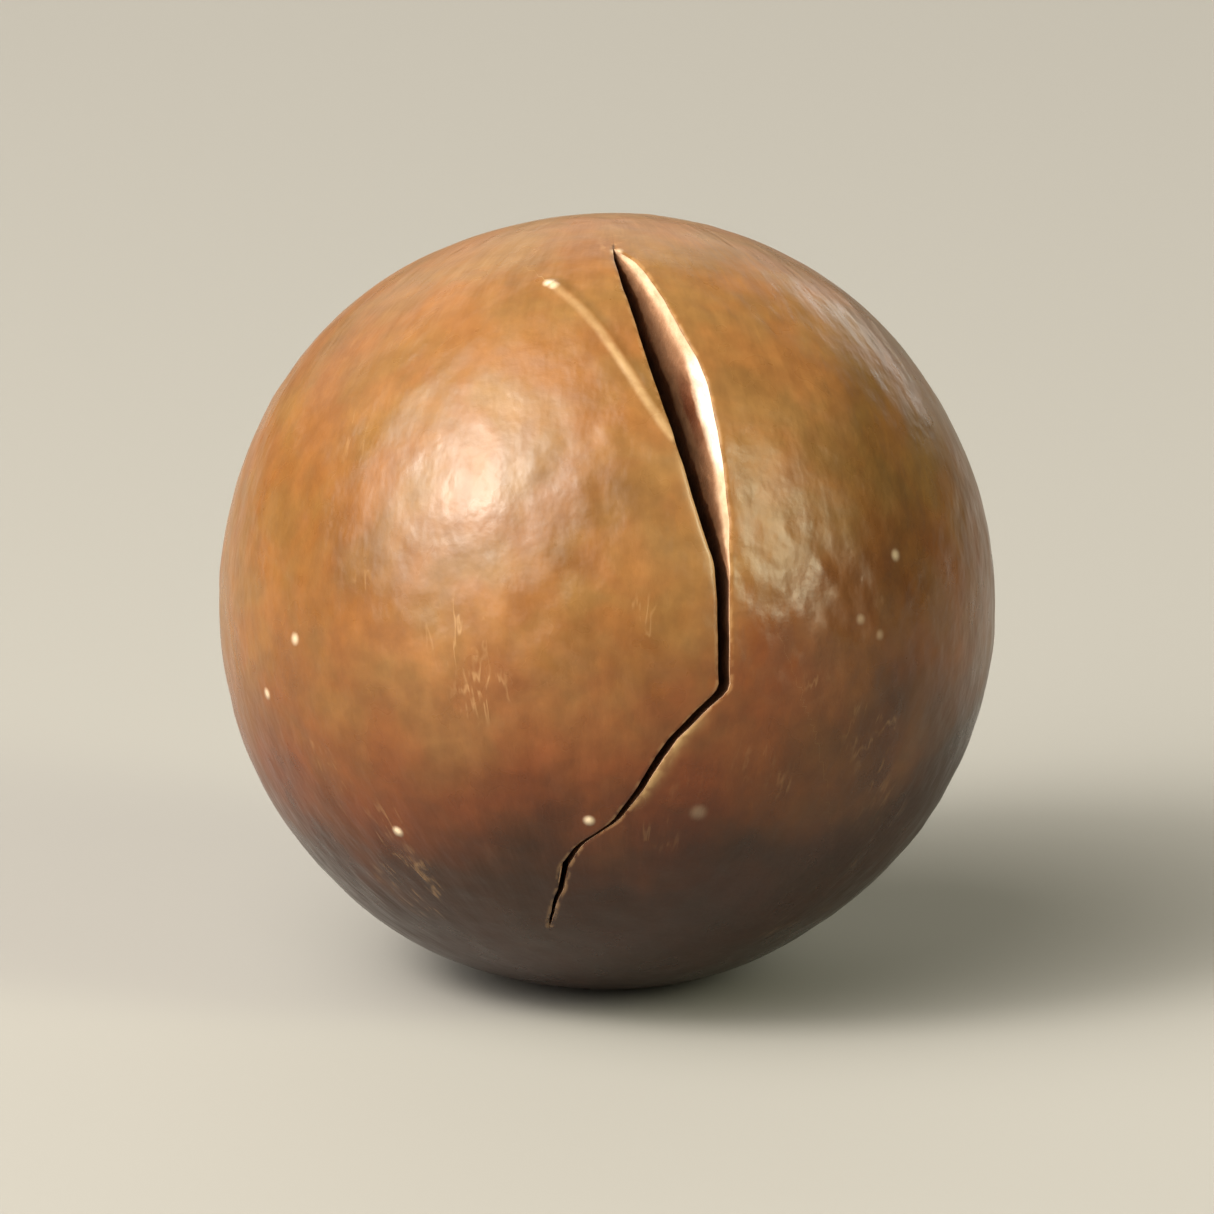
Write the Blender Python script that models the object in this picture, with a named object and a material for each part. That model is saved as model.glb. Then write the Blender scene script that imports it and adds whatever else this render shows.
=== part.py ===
"""A macadamia nut in its shell, cracked open down the front.

Blender 4.5, metres, +Z up. The front faces -Y. The origin is the middle of the flat scar
that the nut rests on. The nut is one solid: a slightly uneven ball with a flat scar below,
a small pore behind the crown and a deep, narrow crack that wanders down the front.
"""

import math

import bmesh
import bpy
import numpy as np
from mathutils import Vector

MM = 0.001

# The body of the nut.
NUT_RADIUS = 12.5 * MM
SCAR_RADIUS = 2.6 * MM
BALL_SIDES = 72
BALL_RINGS = 42
NORMAL_SHARP_ANGLE = math.radians(35)

# How uneven the ball is: each band is (distance between swellings, their typical height).
# The swellings fade out towards the scar below, from this angle off the downward line.
SWELLINGS = ((14.0 * MM, 0.045 * MM), (6.0 * MM, 0.014 * MM))
WAVES_IN_A_BAND = 12
SWELLING_SEED = 11
SWELLING_FADE_ANGLE = math.radians(40)

# The crack is drawn as it is seen from the front by an eye this far above the horizon.
EYE_ELEVATION = math.radians(15)
# Its stations from top to bottom, in millimetres from the middle of the nut as seen:
# height, left lip, right lip.
CRACK_STATIONS = (
    (11.20, 0.20, 0.34),
    (10.85, 0.24, 0.87),
    (10.45, 0.36, 1.24),
    (10.00, 0.51, 1.57),
    (9.57, 0.67, 1.87),
    (8.70, 0.96, 2.32),
    (7.82, 1.25, 2.90),
    (6.94, 1.54, 3.25),
    (5.78, 1.98, 3.50),
    (4.58, 2.36, 3.71),
    (2.55, 2.98, 3.94),
    (1.31, 3.41, 3.96),
    (0.05, 3.54, 3.94),
    (-2.68, 3.57, 3.95),
    (-2.94, 3.46, 3.84),
    (-3.50, 2.85, 3.18),
    (-4.40, 2.00, 2.32),
    (-5.37, 1.33, 1.62),
    (-6.40, 0.69, 0.95),
    (-7.10, 0.21, 0.40),
    (-7.50, -0.36, -0.24),
    (-7.90, -0.99, -0.80),
    (-8.50, -1.44, -1.20),
    (-9.20, -1.53, -1.33),
    (-9.70, -1.72, -1.56),
    (-10.30, -1.87, -1.77),
)
CRACK_DEPTH = 5.0 * MM
CRACK_DEEPEST_WIDTH = 1.8 * MM
CRACK_DEPTH_POWER = 0.4
CRACK_FLOOR_SHARE = 0.25
# The cutter's walls go on outwards past the shell by this share of their depth.
CUTTER_REACH = 0.3

# The pore: a small pit behind the crown, this far back from the upright line through the middle.
PORE_TILT_BACK = math.radians(24)
PORE_WIDTH = 1.1 * MM
PORE_DEPTH = 0.35 * MM

SHELL_COLOUR = (0.27, 0.115, 0.035, 1.0)
SHELL_ROUGHNESS = 0.31


def clear_scene():
    for old in list(bpy.data.objects):
        bpy.data.objects.remove(old)


def collection_named(name):
    made = bpy.data.collections.new(name)
    bpy.context.scene.collection.children.link(made)
    return made


def shell_material():
    material = bpy.data.materials.new("nut_shell")
    material.use_nodes = True
    shader = material.node_tree.nodes["Principled BSDF"]
    shader.inputs["Base Color"].default_value = SHELL_COLOUR
    shader.inputs["Roughness"].default_value = SHELL_ROUGHNESS
    shader.inputs["Metallic"].default_value = 0.0
    material.diffuse_color = SHELL_COLOUR
    return material


def swelling_waves():
    """Plane waves that cross the ball in seeded random directions: vectors, phases, heights."""
    draw = np.random.default_rng(SWELLING_SEED)
    vectors, phases, heights = [], [], []
    for spacing, height in SWELLINGS:
        way = draw.normal(size=(WAVES_IN_A_BAND, 3))
        way /= np.linalg.norm(way, axis=1, keepdims=True)
        vectors.append(way * 2 * math.pi / spacing)
        phases.append(draw.uniform(0, 2 * math.pi, WAVES_IN_A_BAND))
        heights.append(np.full(WAVES_IN_A_BAND, height * math.sqrt(2 / WAVES_IN_A_BAND)))
    return np.concatenate(vectors), np.concatenate(phases), np.concatenate(heights)


def nut_surface(directions):
    """Points of the uneven ball in these unit directions from its middle."""
    vectors, phases, heights = swelling_waves()
    swelling = np.cos(directions * NUT_RADIUS @ vectors.T + phases) @ heights
    scar_angle = math.asin(SCAR_RADIUS / NUT_RADIUS)
    off_downward = np.arccos(np.clip(-directions[:, 2], -1, 1))
    rise = np.clip((off_downward - scar_angle) / (SWELLING_FADE_ANGLE - scar_angle), 0, 1)
    swelling *= rise**2 * (3 - 2 * rise)
    return directions * (NUT_RADIUS + swelling)[:, None]


def as_seen(across, height):
    """The unit direction of the point of the ball that the eye sees at this place, in millimetres."""
    x = across * MM / NUT_RADIUS
    y = height * MM / NUT_RADIUS
    towards = math.sqrt(1 - x * x - y * y)
    sine, cosine = math.sin(EYE_ELEVATION), math.cos(EYE_ELEVATION)
    return Vector((x, y * sine - towards * cosine, y * cosine + towards * sine))


def flatten_scar(bm):
    """Slices the ball off level where the slice is as wide as the scar, and closes it."""
    level = -math.sqrt(NUT_RADIUS**2 - SCAR_RADIUS**2)
    cut = bmesh.ops.bisect_plane(
        bm,
        geom=bm.verts[:] + bm.edges[:] + bm.faces[:],
        plane_co=(0, 0, level),
        plane_no=(0, 0, 1),
        clear_inner=True,
    )
    rim = [part for part in cut["geom_cut"] if isinstance(part, bmesh.types.BMEdge)]
    bmesh.ops.contextual_create(bm, geom=rim)
    bmesh.ops.recalc_face_normals(bm, faces=bm.faces[:])
    return level


def make_nut(parts, material):
    """The uneven ball with its flat scar. Its object is placed so that the scar lies on Z = 0."""
    bm = bmesh.new()
    bmesh.ops.create_uvsphere(bm, u_segments=BALL_SIDES, v_segments=BALL_RINGS, radius=NUT_RADIUS)
    directions = np.array([vert.co.normalized() for vert in bm.verts])
    for vert, point in zip(bm.verts, nut_surface(directions)):
        vert.co = point
    level = flatten_scar(bm)
    corners = np.array([vert.co for vert in bm.verts])
    middle = (corners.min(axis=0) + corners.max(axis=0)) / 2
    mesh = bpy.data.meshes.new("nut")
    bm.to_mesh(mesh)
    bm.free()
    mesh.materials.append(material)
    mesh.shade_smooth()
    mesh.set_sharp_from_angle(angle=NORMAL_SHARP_ANGLE)
    nut = bpy.data.objects.new("nut", mesh)
    nut.location = (-middle[0], -middle[1], -level)
    parts.objects.link(nut)
    return nut


def crack_section(height, left, right):
    """Four corners of the crack at one station: left and right outside the shell, right and left inside."""
    left_way, right_way = as_seen(left, height), as_seen(right, height)
    left_lip, right_lip = left_way * NUT_RADIUS, right_way * NUT_RADIUS
    width = (right_lip - left_lip).length
    depth = CRACK_DEPTH * (width / CRACK_DEEPEST_WIDTH) ** CRACK_DEPTH_POWER
    floor_radius = NUT_RADIUS - min(depth, CRACK_DEPTH)
    middle_way = (left_way + right_way).normalized()
    half_floor = (right_way - left_way) * CRACK_FLOOR_SHARE / 2
    left_floor = (middle_way - half_floor) * floor_radius
    right_floor = (middle_way + half_floor) * floor_radius
    return (
        left_lip + (left_lip - left_floor) * CUTTER_REACH,
        right_lip + (right_lip - right_floor) * CUTTER_REACH,
        right_floor,
        left_floor,
    )


def crack_cutter(cutters):
    """A blade lofted through the crack's sections, which differ from each other in width and depth."""
    bm = bmesh.new()
    rings = []
    for station in CRACK_STATIONS:
        rings.append([bm.verts.new(corner) for corner in crack_section(*station)])
    for upper, lower in zip(rings, rings[1:]):
        for side in range(4):
            after = (side + 1) % 4
            bm.faces.new((upper[side], upper[after], lower[after], lower[side]))
    bm.faces.new(rings[0])
    bm.faces.new(rings[-1][::-1])
    bmesh.ops.recalc_face_normals(bm, faces=bm.faces[:])
    return cutter_object("crack_cutter", bm, cutters)


def pore_cutter(cutters):
    """A flattened ball that leaves the pore's pit in the top of the shell."""
    way = Vector((0, math.sin(PORE_TILT_BACK), math.cos(PORE_TILT_BACK)))
    bm = bmesh.new()
    bmesh.ops.create_uvsphere(bm, u_segments=16, v_segments=8, radius=PORE_WIDTH / 2)
    depth_scale = PORE_DEPTH / (PORE_WIDTH / 2)
    bmesh.ops.scale(bm, vec=(1, 1, depth_scale), verts=bm.verts[:])
    turn = Vector((0, 0, 1)).rotation_difference(way).to_matrix()
    bmesh.ops.rotate(bm, cent=(0, 0, 0), matrix=turn, verts=bm.verts[:])
    surface = Vector(nut_surface(np.array([way]))[0])
    bmesh.ops.translate(bm, vec=surface, verts=bm.verts[:])
    return cutter_object("pore_cutter", bm, cutters)


def cutter_object(name, bm, cutters):
    mesh = bpy.data.meshes.new(name)
    bm.to_mesh(mesh)
    bm.free()
    cutter = bpy.data.objects.new(name, mesh)
    cutter.hide_render = True
    cutter.display_type = "WIRE"
    cutters.objects.link(cutter)
    return cutter


def cut(target, cutter):
    """Cuts the cutter, placed about the same middle, out of the target."""
    cutter.location = target.location
    boolean = target.modifiers.new(cutter.name, "BOOLEAN")
    boolean.operation = "DIFFERENCE"
    boolean.solver = "EXACT"
    boolean.object = cutter


def main():
    clear_scene()
    parts = collection_named("macadamia_nut")
    cutters = collection_named("cutters")
    nut = make_nut(parts, shell_material())
    cut(nut, crack_cutter(cutters))
    cut(nut, pore_cutter(cutters))


main()
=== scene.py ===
# %% [markdown]
# # A macadamia nut in its shell
#
# This script dresses one macadamia nut. The nut is a hard brown ball, 25 mm across, as glossy as
# a polished bean. Its shell has split down the front, and the split is wide enough at the top to
# show the pale broken wall of the shell and the dark inside.
#
# The solid model of the nut comes first, as a fixed frame. Everything below is measured from it,
# in metres, with +Z up and the front of the nut facing -Y.

# %% Load the solid nut
import math

import bpy
import mathutils
import numpy as np
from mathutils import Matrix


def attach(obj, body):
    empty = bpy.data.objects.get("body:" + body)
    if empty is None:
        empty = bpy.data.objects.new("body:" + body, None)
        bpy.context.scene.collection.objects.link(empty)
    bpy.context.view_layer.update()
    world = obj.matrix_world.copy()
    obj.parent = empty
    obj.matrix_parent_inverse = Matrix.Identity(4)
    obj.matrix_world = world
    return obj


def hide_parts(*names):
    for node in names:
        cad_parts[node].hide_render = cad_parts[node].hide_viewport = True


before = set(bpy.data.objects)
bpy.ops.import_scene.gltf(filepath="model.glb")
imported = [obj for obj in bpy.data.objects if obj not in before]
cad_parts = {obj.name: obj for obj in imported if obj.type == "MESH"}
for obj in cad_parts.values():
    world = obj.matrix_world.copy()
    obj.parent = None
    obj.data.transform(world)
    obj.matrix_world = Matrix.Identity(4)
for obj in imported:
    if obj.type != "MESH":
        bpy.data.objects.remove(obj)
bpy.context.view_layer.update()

# %% [markdown]
# ## The ball
#
# A macadamia is close to a perfect ball, and that is why a small unevenness shows at once: the
# eye follows the edge of the highlight. A modelled ball could be made uneven with a Displace
# modifier and a cloud texture. Here the unevenness is a sum of plane waves instead. Each wave
# crosses the ball in its own direction, and many of them together look random, but every point
# can be worked out by a formula. That lets the fine surface follow the solid one exactly, by
# using the same waves.

# %% The size of the nut and the waves that make it uneven
MM = 0.001
NUT_RADIUS = 12.5 * MM
SCAR_RADIUS = 2.6 * MM
SCAR_ANGLE = math.asin(SCAR_RADIUS / NUT_RADIUS)
SCAR_LEVEL = -NUT_RADIUS * math.cos(SCAR_ANGLE)

# Each band is (distance between swellings, their typical height).
SWELLINGS = ((14.0 * MM, 0.045 * MM), (6.0 * MM, 0.014 * MM))
WAVES_IN_A_BAND = 12
SWELLING_SEED = 11
SWELLING_FADE_ANGLE = math.radians(40)


def waves(bands, waves_in_a_band, seed, grain=None, grain_pull=0.0):
    """Random plane waves, as (wave vectors, phases, heights), one row for each wave.

    A wave vector has a random direction and the length 2 pi / distance. Where a grain direction is
    given, part of the vector along it is taken away, which stretches the waves along the grain.
    """
    draw = np.random.default_rng(seed)
    vectors, phases, heights = [], [], []
    for distance, height in bands:
        way = draw.normal(size=(waves_in_a_band, 3))
        if grain is not None:
            way -= grain_pull * (way @ grain)[:, None] * grain
        way /= np.linalg.norm(way, axis=1, keepdims=True)
        vectors.append(way * 2 * math.pi / distance)
        phases.append(draw.uniform(0, 2 * math.pi, waves_in_a_band))
        heights.append(np.full(waves_in_a_band, height * math.sqrt(2 / waves_in_a_band)))
    return np.concatenate(vectors), np.concatenate(phases), np.concatenate(heights)


def wave_height(points, wave_set):
    """The sum of the waves' cosines at each point."""
    vectors, phases, heights = wave_set
    return np.cos(points @ vectors.T + phases) @ heights


def smooth_step(value, start, end):
    """0 up to start, 1 from end, and an S-shaped rise between them."""
    share = np.clip((value - start) / (end - start), 0, 1)
    return share**2 * (3 - 2 * share)


def off_downward(ways):
    """The angle between each unit direction and straight down."""
    return np.arccos(np.clip(-ways[..., 2], -1, 1))


def swelling(ways):
    """The solid nut's own unevenness in these directions. It fades out towards the scar."""
    rise = smooth_step(off_downward(ways), SCAR_ANGLE, SWELLING_FADE_ANGLE)
    return rise * wave_height(ways * NUT_RADIUS, SWELLING_WAVES)


SWELLING_WAVES = waves(SWELLINGS, WAVES_IN_A_BAND, SWELLING_SEED)
print("Waves in the large swellings:", len(SWELLING_WAVES[1]))

# %% [markdown]
# ## Drawing on the ball as the eye sees it
#
# The crack, the scratch beside it and the small specks all have a place on the front of the nut
# as it is seen from 15 degrees above the table. So it is easiest to give each place the way it
# would be drawn on paper: so many millimetres across, so many up. A point (across, up) on the
# paper lies on the ball where a straight line of sight meets it: the third distance, towards
# the eye, is what is left of the radius.

# %% From the flat drawing to the ball
EYE_ELEVATION = math.radians(15)
SEEN_RIGHT = np.array((1.0, 0.0, 0.0))
SEEN_TOWARDS = np.array((0.0, -math.cos(EYE_ELEVATION), math.sin(EYE_ELEVATION)))
SEEN_UP = np.array((0.0, math.sin(EYE_ELEVATION), math.cos(EYE_ELEVATION)))
SEEN_AXES = np.array((SEEN_RIGHT, SEEN_TOWARDS, SEEN_UP))


def as_seen(places_mm):
    """Unit directions of places drawn as (across, up) in millimetres from the nut's middle."""
    across, up = np.asarray(places_mm, dtype=float).T * MM / NUT_RADIUS
    towards = np.sqrt(np.clip(1 - across**2 - up**2, 0, 1))
    return np.stack((across, towards, up), axis=-1) @ SEEN_AXES


print("The middle of the front points to:", np.round(as_seen([(0, 0)])[0], 3).tolist())

# %% [markdown]
# ## The crack
#
# The shell of a macadamia is a few millimetres thick and breaks like pottery. This one has split
# in a long curve that starts high on the front, is widest a third of the way down, turns sharply
# on the right and wanders down as a thin line. Its two edges could be cut with a Boolean, but a
# cut leaves long thin triangles that spoil the gloss beside it. Instead the two lips of the crack
# become the two ends of the grid that covers the ball, so that the surface simply starts at one
# lip, runs right round the nut, and ends at the other.

# %% The lips of the crack
# Its stations from top to bottom: height, left lip, right lip, in millimetres as seen.
CRACK_STATIONS = np.array((
    (11.30, 0.22, 0.22),
    (11.20, 0.20, 0.34),
    (10.85, 0.24, 0.87),
    (10.45, 0.36, 1.24),
    (10.00, 0.51, 1.57),
    (9.57, 0.67, 1.87),
    (8.70, 0.96, 2.32),
    (7.82, 1.25, 2.90),
    (6.94, 1.54, 3.25),
    (5.78, 1.98, 3.50),
    (4.58, 2.36, 3.71),
    (2.55, 2.98, 3.94),
    (1.31, 3.41, 3.96),
    (0.05, 3.54, 3.94),
    (-2.68, 3.57, 3.95),
    (-2.94, 3.46, 3.84),
    (-3.50, 2.85, 3.18),
    (-4.40, 2.00, 2.32),
    (-5.37, 1.33, 1.62),
    (-6.40, 0.69, 0.95),
    (-7.10, 0.21, 0.40),
    (-7.50, -0.36, -0.24),
    (-7.90, -0.99, -0.80),
    (-8.50, -1.44, -1.20),
    (-9.20, -1.53, -1.33),
    (-9.70, -1.72, -1.56),
    (-10.30, -1.87, -1.77),
    (-10.50, -1.88, -1.88),
))
CRACK_TOP, CRACK_BOTTOM = CRACK_STATIONS[0, 0], CRACK_STATIONS[-1, 0]

# How jagged the broken edge is: each row is (distance between corners, reach), in millimetres.
JAGS = ((0.55, 0.035), (0.24, 0.016))
JAG_SEED = 5
# Above this height as seen the edge is calmer, and only this share of the jags is left.
CALM_ABOVE, CALM_OVER, CALM_SHARE = -2.0, 2.0, 0.35
# The lips differ from each other by this share of their own jags, and less where the gap is narrow.
OWN_JAGS_SHARE, OWN_JAGS_GAP = 0.25, 0.3


def jagged(height, seed):
    """A broken line: straight pieces between corners that stand off by a random distance."""
    draw = np.random.default_rng(seed)
    total = np.zeros_like(height)
    for spacing, reach in JAGS:
        corners = np.arange(CRACK_BOTTOM - spacing, CRACK_TOP + 2 * spacing, spacing)
        total += np.interp(height, corners, draw.uniform(-reach, reach, len(corners)))
    return total


def lips(height):
    """Where the left and right lips are, across the drawing, at these heights in millimetres."""
    upwards = CRACK_STATIONS[::-1]
    left = np.interp(height, upwards[:, 0], upwards[:, 1])
    right = np.interp(height, upwards[:, 0], upwards[:, 2])
    calm = CALM_SHARE + (1 - CALM_SHARE) * smooth_step(-height, -CALM_ABOVE, CALM_OVER - CALM_ABOVE)
    both = jagged(height, JAG_SEED) * calm
    own = np.minimum(right - left, OWN_JAGS_GAP) / OWN_JAGS_GAP * jagged(height, JAG_SEED + 1) * calm
    return left + both - own * OWN_JAGS_SHARE, right + both + own * OWN_JAGS_SHARE


print("The crack is", CRACK_TOP - CRACK_BOTTOM, "mm high and",
      np.round(max(CRACK_STATIONS[:, 2] - CRACK_STATIONS[:, 1]), 2), "mm wide as seen.")

# %% [markdown]
# ## The grid
#
# Think of a globe whose poles are the top and bottom of the nut as it is seen. Rows are its
# circles of latitude and columns its meridians. Two changes suit it to a cracked nut. The first
# meridian bends to follow the right lip and the last one the left lip, and the bend dies away
# towards the back. And the meridians stand closer together near the lips, so that the broken edge
# and the scratch are drawn finely while the back stays light.
#
# Between the lips a second set of columns goes down one wall of the crack and up the other. Above
# and below the crack those columns shrink to a single point, so the whole nut is one closed skin.

# %% Rows from the top pole to the bottom one
ROWS = 213
# Near each pole the rows crowd together: (extra rows, over this angle).
CROWD_TOP = (0.7, 0.28)
CROWD_BOTTOM = (0.5, 0.50)
# A density is added up over this many small steps.
FINE_STEPS = 4000


def spread(density, count):
    """Positions whose spacing is the inverse of a density given on an even scale from 0 to 1."""
    scale = np.linspace(0, 1, len(density))
    total = np.concatenate(((0,), np.cumsum((density[1:] + density[:-1]) / 2)))
    return np.interp(np.linspace(0, total[-1], count), total, scale)


fine_scale = np.linspace(0, math.pi, FINE_STEPS)
row_density = (
    1
    + CROWD_TOP[0] * np.exp(-((fine_scale / CROWD_TOP[1]) ** 2))
    + CROWD_BOTTOM[0] * np.exp(-(((math.pi - fine_scale) / CROWD_BOTTOM[1]) ** 2))
)
row_angle = spread(row_density, ROWS + 1) * math.pi
row_height = NUT_RADIUS / MM * np.cos(row_angle)
is_open = (row_height < CRACK_TOP) & (row_height > CRACK_BOTTOM)
print("Rows:", ROWS, "of which the crack takes", int(is_open.sum()))

# %% Columns round the ball, from the right lip to the left one
COLUMNS = 428
LIP_SPACING, FAR_SPACING = 0.035, 0.20
SPACING_REACH = 1.3
BEND_FADES_OVER = 1.9

half_way = np.linspace(0, math.pi * NUT_RADIUS / MM, FINE_STEPS)
half_spacing = LIP_SPACING + (FAR_SPACING - LIP_SPACING) * (1 - np.exp(-half_way / SPACING_REACH))
half_turn = spread(1 / half_spacing, COLUMNS // 2 + 1) * math.pi
turn = np.concatenate((half_turn, 2 * math.pi - half_turn[-2::-1]))

left_mm, right_mm = lips(np.clip(row_height, CRACK_BOTTOM, CRACK_TOP))
row_reach = NUT_RADIUS / MM * np.sin(np.clip(row_angle, *row_angle[is_open][[0, -1]]))
left_lip_turn = np.arcsin(left_mm / row_reach)
right_lip_turn = np.arcsin(right_mm / row_reach)
left_lip_turn[~is_open] = right_lip_turn[~is_open]


def bend(distance):
    """1 at a lip, falling in an S to 0 at the distance where the bend of the meridians ends."""
    return 1 - smooth_step(distance, 0, BEND_FADES_OVER)


longitude = (
    turn[None, :]
    + right_lip_turn[:, None] * bend(turn)[None, :]
    + left_lip_turn[:, None] * bend(2 * math.pi - turn)[None, :]
)
around = np.stack(
    (
        np.sin(row_angle)[:, None] * np.sin(longitude),
        np.sin(row_angle)[:, None] * np.cos(longitude),
        np.cos(row_angle)[:, None] * np.ones_like(longitude),
    ),
    axis=-1,
) @ SEEN_AXES
print("Columns:", COLUMNS, "and the grid is", around.shape[:2])

# %% [markdown]
# ## Marks on the shell
#
# A nut isn't only a ball with a crack. A thin pale scratch runs down beside the crack and joins
# it. Behind the crown, just out of sight, is the pore through which the seedling would leave. A
# faint seam goes on from the top of the crack, over the pore and down the back. Underneath is the
# scar where the nut hung in its husk.
#
# All of these are lines and spots, so the useful number is the distance to them. Each distance is
# worked out once for every point of the grid. It shapes the surface here, and it is stored with
# the mesh, so that the finish can draw the same mark much finer than the grid is.

# %% Where the marks are
# The scratch from its bright start to where it meets the left lip, in millimetres as seen.
SCRATCH_MM = ((-1.70, 10.04), (-0.64, 9.10), (-0.07, 8.41), (0.52, 7.53), (1.16, 6.54),
              (1.69, 5.78), (2.08, 5.23))
PORE_TILT_BACK = math.radians(24)
# The seam from the pore down the back, as (turn from the front, height above the horizon). It
# reaches the pore from the top of the crack.
SEAM_DEGREES = ((180, 66), (177, 40), (182, 15), (178, -12), (181, -38), (179, -66))


def on_ball(degrees):
    """Unit directions from (turn from the front towards +X, height above the horizon)."""
    turned, raised = np.radians(np.asarray(degrees, dtype=float)).T
    level = np.cos(raised)
    return np.stack((np.sin(turned) * level, -np.cos(turned) * level, np.sin(raised)), axis=-1)


def distance_to_path(points, path):
    """Each point's distance to a broken line on the ball, below 0 on the left going along it.

    For every piece of the line, the nearest place on it is the foot of the perpendicular, held
    between the two ends. The smallest distance over all pieces is kept, with its side.
    """
    best = np.full(points.shape[:-1], np.inf)
    signed = best.copy()
    for start, end in zip(path[:-1], path[1:]):
        along = end - start
        share = np.clip((points - start) @ along / (along @ along), 0, 1)
        offset = points - start - share[..., None] * along
        distance = np.linalg.norm(offset, axis=-1)
        side = np.sign(np.sum(np.cross(along, offset) * points, axis=-1))
        nearer = distance < best
        best[nearer] = distance[nearer]
        signed[nearer] = (distance * np.where(side == 0, 1, side))[nearer]
    return signed


pore_way = np.array((0, math.sin(PORE_TILT_BACK), math.cos(PORE_TILT_BACK)))
scratch_path = as_seen(SCRATCH_MM) * NUT_RADIUS
seam_path = np.concatenate((as_seen([CRACK_STATIONS[0, :2][::-1]]), on_ball(SEAM_DEGREES))) * NUT_RADIUS

on_sphere = around * NUT_RADIUS
from_scratch = distance_to_path(on_sphere, scratch_path)
from_seam = distance_to_path(on_sphere, seam_path)
from_pore = np.linalg.norm(on_sphere - pore_way * NUT_RADIUS, axis=-1)
from_scar = NUT_RADIUS * np.sin(np.minimum(off_downward(around), math.pi / 2))
scratch_length = float(np.linalg.norm(np.diff(scratch_path, axis=0), axis=1).sum())
print("The scratch is", round(scratch_length / MM, 1), "mm long, and the nearest point of the grid is",
      round(float(np.min(from_pore)) / MM, 2), "mm from the middle of the pore.")

# %% [markdown]
# ## How far each point is from a broken edge
#
# Along a row, the distance to a lip is the difference in turn times the radius of that row. Past
# the ends of the crack there is no lip, so the distance to the nearer end is added to it.

# %% Distance from the lips
from_left = (longitude[:, -1:] - longitude) * np.sin(row_angle)[:, None] * NUT_RADIUS
from_right = (longitude - longitude[:, :1]) * np.sin(row_angle)[:, None] * NUT_RADIUS
open_angles = row_angle[is_open]
past_end = np.maximum(open_angles[0] - row_angle, row_angle - open_angles[-1]).clip(0) * NUT_RADIUS
from_left = np.hypot(from_left, past_end[:, None])
from_right = np.hypot(from_right, past_end[:, None])
from_lip = np.minimum(from_left, from_right)
print("Points within 0.2 mm of a lip:", int((from_lip < 0.2 * MM).sum()))

# %% [markdown]
# ## The skin of the shell
#
# The shell is polished but not smooth: it looks gently hammered, and the hollows are a little
# longer than they are wide. That is what breaks the highlight into dabs. Three more bands of
# waves make it. Their grain leans one way on the left half of the nut and the other way on the
# right half, as if the hollows ran up to a point on the crown, so two sets of waves change places
# across the front. To these come the marks: a ridge along the scratch, a ring and a pit at the
# pore, a shallow groove along the seam, and a rounded shoulder where the skin turns down into the
# crack.

# %% Hammering that leans towards the crown from both sides
HAMMERING = ((2.4 * MM, 0.008 * MM), (1.3 * MM, 0.010 * MM), (0.80 * MM, 0.0065 * MM))
WAVES_IN_A_FINE_BAND = 40
HAMMERING_SEEDS = (23, 24)
GRAIN_LEAN, GRAIN_PULL = 5.0 / 8.5, 0.55
SIDES_CHANGE_OVER = 4.0 * MM
CALMER_PLACES = ((7.0 * MM, 1.0),)
CALM_SEED = 31
CALMING = 0.35
# Towards the limb and the back the hammering sinks to this share.
AWAY_SHARE, AWAY_FROM, AWAY_TO = 0.45, 0.75, 0.40


def hammered(points):
    """Two leaning sets of waves. Their shares are the sine and cosine of one angle, so that
    the hammering stays as strong where they change places. Broad waves make some places calmer,
    and it is strongest on the front."""
    total = 0.0
    change = (smooth_step(points[..., 0], -SIDES_CHANGE_OVER, SIDES_CHANGE_OVER)) * math.pi / 2
    for share, lean, seed in zip((np.cos(change), np.sin(change)), (1, -1), HAMMERING_SEEDS):
        grain = SEEN_UP + lean * GRAIN_LEAN * SEEN_RIGHT
        leaning = waves(HAMMERING, WAVES_IN_A_FINE_BAND, seed, grain / np.linalg.norm(grain), GRAIN_PULL)
        total += share * wave_height(points, leaning)
    away = smooth_step(-(points @ SEEN_TOWARDS) / NUT_RADIUS, -AWAY_FROM, -AWAY_TO)
    return total * (1 + CALMING * np.tanh(wave_height(points, calm_waves))) * (1 - (1 - AWAY_SHARE) * away)


calm_waves = waves(CALMER_PLACES, WAVES_IN_A_BAND, CALM_SEED)
print("The hammering is", np.round(np.std(hammered(on_sphere)) / MM, 4), "mm high on average.")

# %% The height of the skin above the plain ball
SCRATCH_RIDGE, SCRATCH_HALF_WIDTH = 0.018 * MM, 0.12 * MM
SCRATCH_GROOVE, SCRATCH_GROOVE_AT = 0.008 * MM, 0.24 * MM
SCRATCH_START_HEIGHT, SCRATCH_START_WIDTH = 0.06 * MM, 0.20 * MM
SEAM_GROOVE, SEAM_HALF_WIDTH = 0.020 * MM, 0.12 * MM
PORE_RADIUS, PORE_DEPTH = 0.55 * MM, 0.35 * MM
PORE_RING_AT, PORE_RING_HEIGHT, PORE_RING_WIDTH = 0.80 * MM, 0.05 * MM, 0.18 * MM
SHOULDER_WIDTH, SHOULDER_DROP = 0.13 * MM, 0.035 * MM
HAMMERING_STARTS_AT = 2.2 * SCAR_RADIUS


def bell(distance, width):
    """1 at no distance, falling away like a bell over the width."""
    return np.exp(-((distance / width) ** 2))


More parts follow.
